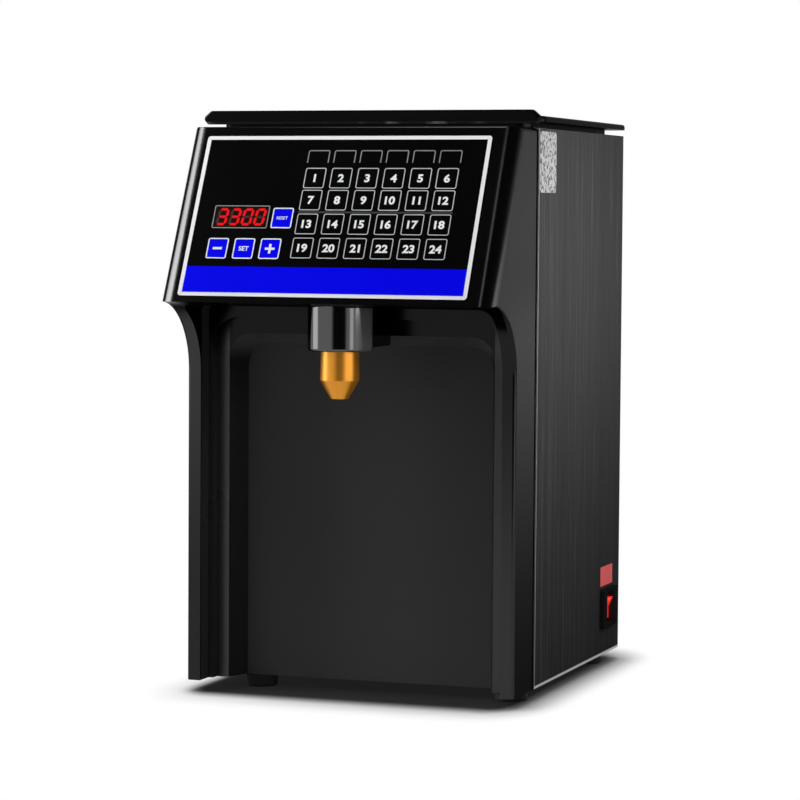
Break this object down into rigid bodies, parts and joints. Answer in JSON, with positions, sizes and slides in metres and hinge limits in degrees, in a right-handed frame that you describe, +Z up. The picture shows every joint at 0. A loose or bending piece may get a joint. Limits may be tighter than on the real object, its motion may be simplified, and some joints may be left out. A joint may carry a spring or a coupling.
{
  "type": "fructose dispenser",
  "caption": "Countertop syrup dispenser: black body, leaning keypad with digit display, brass nozzle over an open cup bay, lift-off lid over a steel tank, gear pump inside.",
  "frame": {"origin": "centre of the object's box at the floor, under the rubber feet", "axes": "+X to the user's right facing the keypad, +Y to the back, +Z up"},
  "size_m": [0.275, 0.362, 0.45],
  "materials": {
    "gloss_black_moulding": "gloss",
    "matte_grey_panel": "fine matte",
    "overlay_film": "printed film, satin gloss",
    "smoked_red_lens": "smoked clear",
    "red_digit_module": "matte with lit segments",
    "circuit_board": "solder mask",
    "gloss_black_turned": "high gloss",
    "nozzle_brass": "turned",
    "black_brushed_sheet": "upright brushed grain, black",
    "bare_steel_sheet": "brushed",
    "lid_black_moulding": "semi-gloss",
    "grey_silicone": "matte",
    "tank_steel": "satin",
    "fitting_steel": "turned",
    "clear_hose": "milky",
    "pump_aluminium": "cast, machined face",
    "gear_steel": "machined",
    "motor_paint": "satin",
    "bracket_zinc": "zinc plated",
    "supply_case": "folded sheet",
    "inlet_black": "fine matte",
    "switch_black": "fine matte",
    "rocker_red": "gloss",
    "loom_sleeve": "matte",
    "screw_steel": "plated",
    "nut_brass": "plain",
    "clip_nylon": "matte",
    "foot_rubber": "matte",
    "key_black": "printed film, satin gloss",
    "key_blue": "printed film, satin gloss"
  },
  "bodies": {
    "dispenser_body": {"front_housing": "gloss_black_moulding", "niche_panel": "matte_grey_panel", "keypad_overlay": "overlay_film", "display_window": "smoked_red_lens", "digit_display": "red_digit_module", "control_board": "circuit_board", "nozzle_holder": "gloss_black_turned", "nozzle": "nozzle_brass", "body_wrap": "black_brushed_sheet", "base_plate": "bare_steel_sheet", "top_deck": "bare_steel_sheet", "syrup_tank": "tank_steel", "tank_outlet": "fitting_steel", "suction_hose": "clear_hose", "delivery_hose": "clear_hose", "pump_body": "pump_aluminium", "pump_cover": "pump_aluminium", "pump_motor": "motor_paint", "motor_bracket": "bracket_zinc", "power_supply": "supply_case", "power_inlet": "inlet_black", "switch_frame": "switch_black", "wire_loom": "loom_sleeve", "screws": "screw_steel", "fitting_nuts": "nut_brass", "hose_clips": "clip_nylon", "feet": "foot_rubber"},
    "lid": {"lid": "lid_black_moulding", "lid_gasket": "grey_silicone"},
    "rocker": {"switch_rocker": "rocker_red"},
    "pump_drive": {"drive_gear": "gear_steel"},
    "pump_idler": {"driven_gear": "gear_steel"},
    "button_01": {"key_01": "key_black"},
    "button_02": {"key_02": "key_black"},
    "button_03": {"key_03": "key_black"},
    "button_04": {"key_04": "key_black"},
    "button_05": {"key_05": "key_black"},
    "button_06": {"key_06": "key_black"},
    "button_07": {"key_07": "key_black"},
    "button_08": {"key_08": "key_black"},
    "button_09": {"key_09": "key_black"},
    "button_10": {"key_10": "key_black"},
    "button_11": {"key_11": "key_black"},
    "button_12": {"key_12": "key_black"},
    "button_13": {"key_13": "key_black"},
    "button_14": {"key_14": "key_black"},
    "button_15": {"key_15": "key_black"},
    "button_16": {"key_16": "key_black"},
    "button_17": {"key_17": "key_black"},
    "button_18": {"key_18": "key_black"},
    "button_19": {"key_19": "key_black"},
    "button_20": {"key_20": "key_black"},
    "button_21": {"key_21": "key_black"},
    "button_22": {"key_22": "key_black"},
    "button_23": {"key_23": "key_black"},
    "button_24": {"key_24": "key_black"},
    "button_minus": {"key_minus": "key_blue"},
    "button_set": {"key_set": "key_blue"},
    "button_plus": {"key_plus": "key_blue"},
    "button_reset": {"key_reset": "key_blue"}
  },
  "joints": [
    {"name": "lid_lift", "type": "slide", "parent": "dispenser_body", "child": "lid", "axis": [0, 0, 1], "range_m": [0, 0.06]},
    {"name": "power_rock", "type": "hinge", "parent": "dispenser_body", "child": "rocker", "pos_m": [0.1274, 0.1397, 0.04775], "axis": [0, 1, 0], "range_deg": [-24, 0]},
    {"name": "pump_drive_spin", "type": "hinge", "parent": "dispenser_body", "child": "pump_drive", "pos_m": [-0.062, 0, 0.062], "axis": [0, 1, 0], "continuous": true},
    {"name": "pump_idler_spin", "type": "hinge", "parent": "dispenser_body", "child": "pump_idler", "pos_m": [-0.038, 0, 0.062], "axis": [0, 1, 0], "continuous": true},
    {"name": "press_01", "type": "slide", "parent": "dispenser_body", "child": "button_01", "axis": [0, 0.8944, -0.4472], "range_m": [0, 0.0003], "stiffness_N_per_m": 400},
    {"name": "press_02", "type": "slide", "parent": "dispenser_body", "child": "button_02", "axis": [0, 0.8944, -0.4472], "range_m": [0, 0.0003], "stiffness_N_per_m": 400},
    {"name": "press_03", "type": "slide", "parent": "dispenser_body", "child": "button_03", "axis": [0, 0.8944, -0.4472], "range_m": [0, 0.0003], "stiffness_N_per_m": 400},
    {"name": "press_04", "type": "slide", "parent": "dispenser_body", "child": "button_04", "axis": [0, 0.8944, -0.4472], "range_m": [0, 0.0003], "stiffness_N_per_m": 400},
    {"name": "press_05", "type": "slide", "parent": "dispenser_body", "child": "button_05", "axis": [0, 0.8944, -0.4472], "range_m": [0, 0.0003], "stiffness_N_per_m": 400},
    {"name": "press_06", "type": "slide", "parent": "dispenser_body", "child": "button_06", "axis": [0, 0.8944, -0.4472], "range_m": [0, 0.0003], "stiffness_N_per_m": 400},
    {"name": "press_07", "type": "slide", "parent": "dispenser_body", "child": "button_07", "axis": [0, 0.8944, -0.4472], "range_m": [0, 0.0003], "stiffness_N_per_m": 400},
    {"name": "press_08", "type": "slide", "parent": "dispenser_body", "child": "button_08", "axis": [0, 0.8944, -0.4472], "range_m": [0, 0.0003], "stiffness_N_per_m": 400},
    {"name": "press_09", "type": "slide", "parent": "dispenser_body", "child": "button_09", "axis": [0, 0.8944, -0.4472], "range_m": [0, 0.0003], "stiffness_N_per_m": 400},
    {"name": "press_10", "type": "slide", "parent": "dispenser_body", "child": "button_10", "axis": [0, 0.8944, -0.4472], "range_m": [0, 0.0003], "stiffness_N_per_m": 400},
    {"name": "press_11", "type": "slide", "parent": "dispenser_body", "child": "button_11", "axis": [0, 0.8944, -0.4472], "range_m": [0, 0.0003], "stiffness_N_per_m": 400},
    {"name": "press_12", "type": "slide", "parent": "dispenser_body", "child": "button_12", "axis": [0, 0.8944, -0.4472], "range_m": [0, 0.0003], "stiffness_N_per_m": 400},
    {"name": "press_13", "type": "slide", "parent": "dispenser_body", "child": "button_13", "axis": [0, 0.8944, -0.4472], "range_m": [0, 0.0003], "stiffness_N_per_m": 400},
    {"name": "press_14", "type": "slide", "parent": "dispenser_body", "child": "button_14", "axis": [0, 0.8944, -0.4472], "range_m": [0, 0.0003], "stiffness_N_per_m": 400},
    {"name": "press_15", "type": "slide", "parent": "dispenser_body", "child": "button_15", "axis": [0, 0.8944, -0.4472], "range_m": [0, 0.0003], "stiffness_N_per_m": 400},
    {"name": "press_16", "type": "slide", "parent": "dispenser_body", "child": "button_16", "axis": [0, 0.8944, -0.4472], "range_m": [0, 0.0003], "stiffness_N_per_m": 400},
    {"name": "press_17", "type": "slide", "parent": "dispenser_body", "child": "button_17", "axis": [0, 0.8944, -0.4472], "range_m": [0, 0.0003], "stiffness_N_per_m": 400},
    {"name": "press_18", "type": "slide", "parent": "dispenser_body", "child": "button_18", "axis": [0, 0.8944, -0.4472], "range_m": [0, 0.0003], "stiffness_N_per_m": 400},
    {"name": "press_19", "type": "slide", "parent": "dispenser_body", "child": "button_19", "axis": [0, 0.8944, -0.4472], "range_m": [0, 0.0003], "stiffness_N_per_m": 400},
    {"name": "press_20", "type": "slide", "parent": "dispenser_body", "child": "button_20", "axis": [0, 0.8944, -0.4472], "range_m": [0, 0.0003], "stiffness_N_per_m": 400},
    {"name": "press_21", "type": "slide", "parent": "dispenser_body", "child": "button_21", "axis": [0, 0.8944, -0.4472], "range_m": [0, 0.0003], "stiffness_N_per_m": 400},
    {"name": "press_22", "type": "slide", "parent": "dispenser_body", "child": "button_22", "axis": [0, 0.8944, -0.4472], "range_m": [0, 0.0003], "stiffness_N_per_m": 400},
    {"name": "press_23", "type": "slide", "parent": "dispenser_body", "child": "button_23", "axis": [0, 0.8944, -0.4472], "range_m": [0, 0.0003], "stiffness_N_per_m": 400},
    {"name": "press_24", "type": "slide", "parent": "dispenser_body", "child": "button_24", "axis": [0, 0.8944, -0.4472], "range_m": [0, 0.0003], "stiffness_N_per_m": 400},
    {"name": "press_minus", "type": "slide", "parent": "dispenser_body", "child": "button_minus", "axis": [0, 0.8944, -0.4472], "range_m": [0, 0.0003], "stiffness_N_per_m": 400},
    {"name": "press_set", "type": "slide", "parent": "dispenser_body", "child": "button_set", "axis": [0, 0.8944, -0.4472], "range_m": [0, 0.0003], "stiffness_N_per_m": 400},
    {"name": "press_plus", "type": "slide", "parent": "dispenser_body", "child": "button_plus", "axis": [0, 0.8944, -0.4472], "range_m": [0, 0.0003], "stiffness_N_per_m": 400},
    {"name": "press_reset", "type": "slide", "parent": "dispenser_body", "child": "button_reset", "axis": [0, 0.8944, -0.4472], "range_m": [0, 0.0003], "stiffness_N_per_m": 400}
  ],
  "couplings": [
    {"joint": "pump_idler_spin", "follows": "pump_drive_spin", "ratio": -1}
  ]
}
